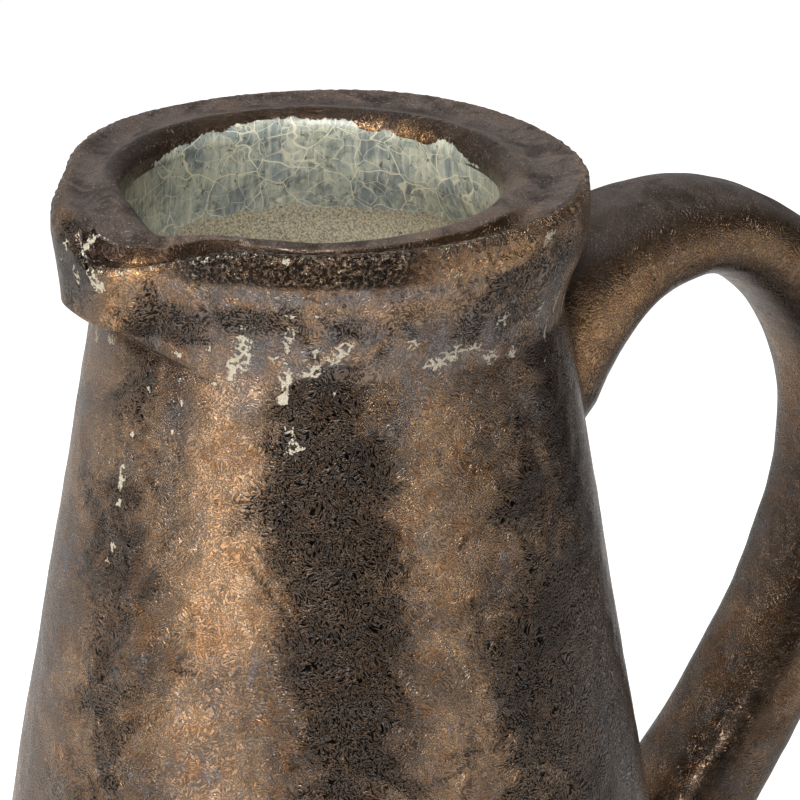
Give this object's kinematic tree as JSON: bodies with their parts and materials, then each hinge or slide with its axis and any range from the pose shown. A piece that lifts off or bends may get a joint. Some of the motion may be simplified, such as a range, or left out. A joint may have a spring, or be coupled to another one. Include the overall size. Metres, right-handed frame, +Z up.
{
  "type": "terracotta pitcher",
  "caption": "Hand-made pitcher with a conical body, short flared collar, thick flat lip with a pinched spout, and a pulled strap handle; holds and pours liquid.",
  "frame": {"origin": "centre of the flat underside that the pitcher stands on", "axes": "+Z up along the vessel's axis, +X towards the handle, -X towards the spout"},
  "size_m": [0.2341, 0.158, 0.264],
  "materials": {
    "bronze_glaze": "bronze-lustre glaze over terracotta, mottled, fine leathery grain",
    "lip_glaze": "dry, thin bronze glaze with a matt mauve-brown surface",
    "crackle_glaze": "glossy pale grey-green crackle glaze",
    "bare_terracotta": "unglazed fired clay, matt"
  },
  "bodies": {
    "root": {"base_slab": "bare_terracotta", "body_wall": "bronze_glaze", "neck_collar": "bronze_glaze", "rim_lip": "lip_glaze", "glaze_lining": "crackle_glaze", "handle_upper_wad": "bronze_glaze", "handle_strap": "bronze_glaze", "handle_lower_wad": "bronze_glaze"}
  },
  "joints": []
}
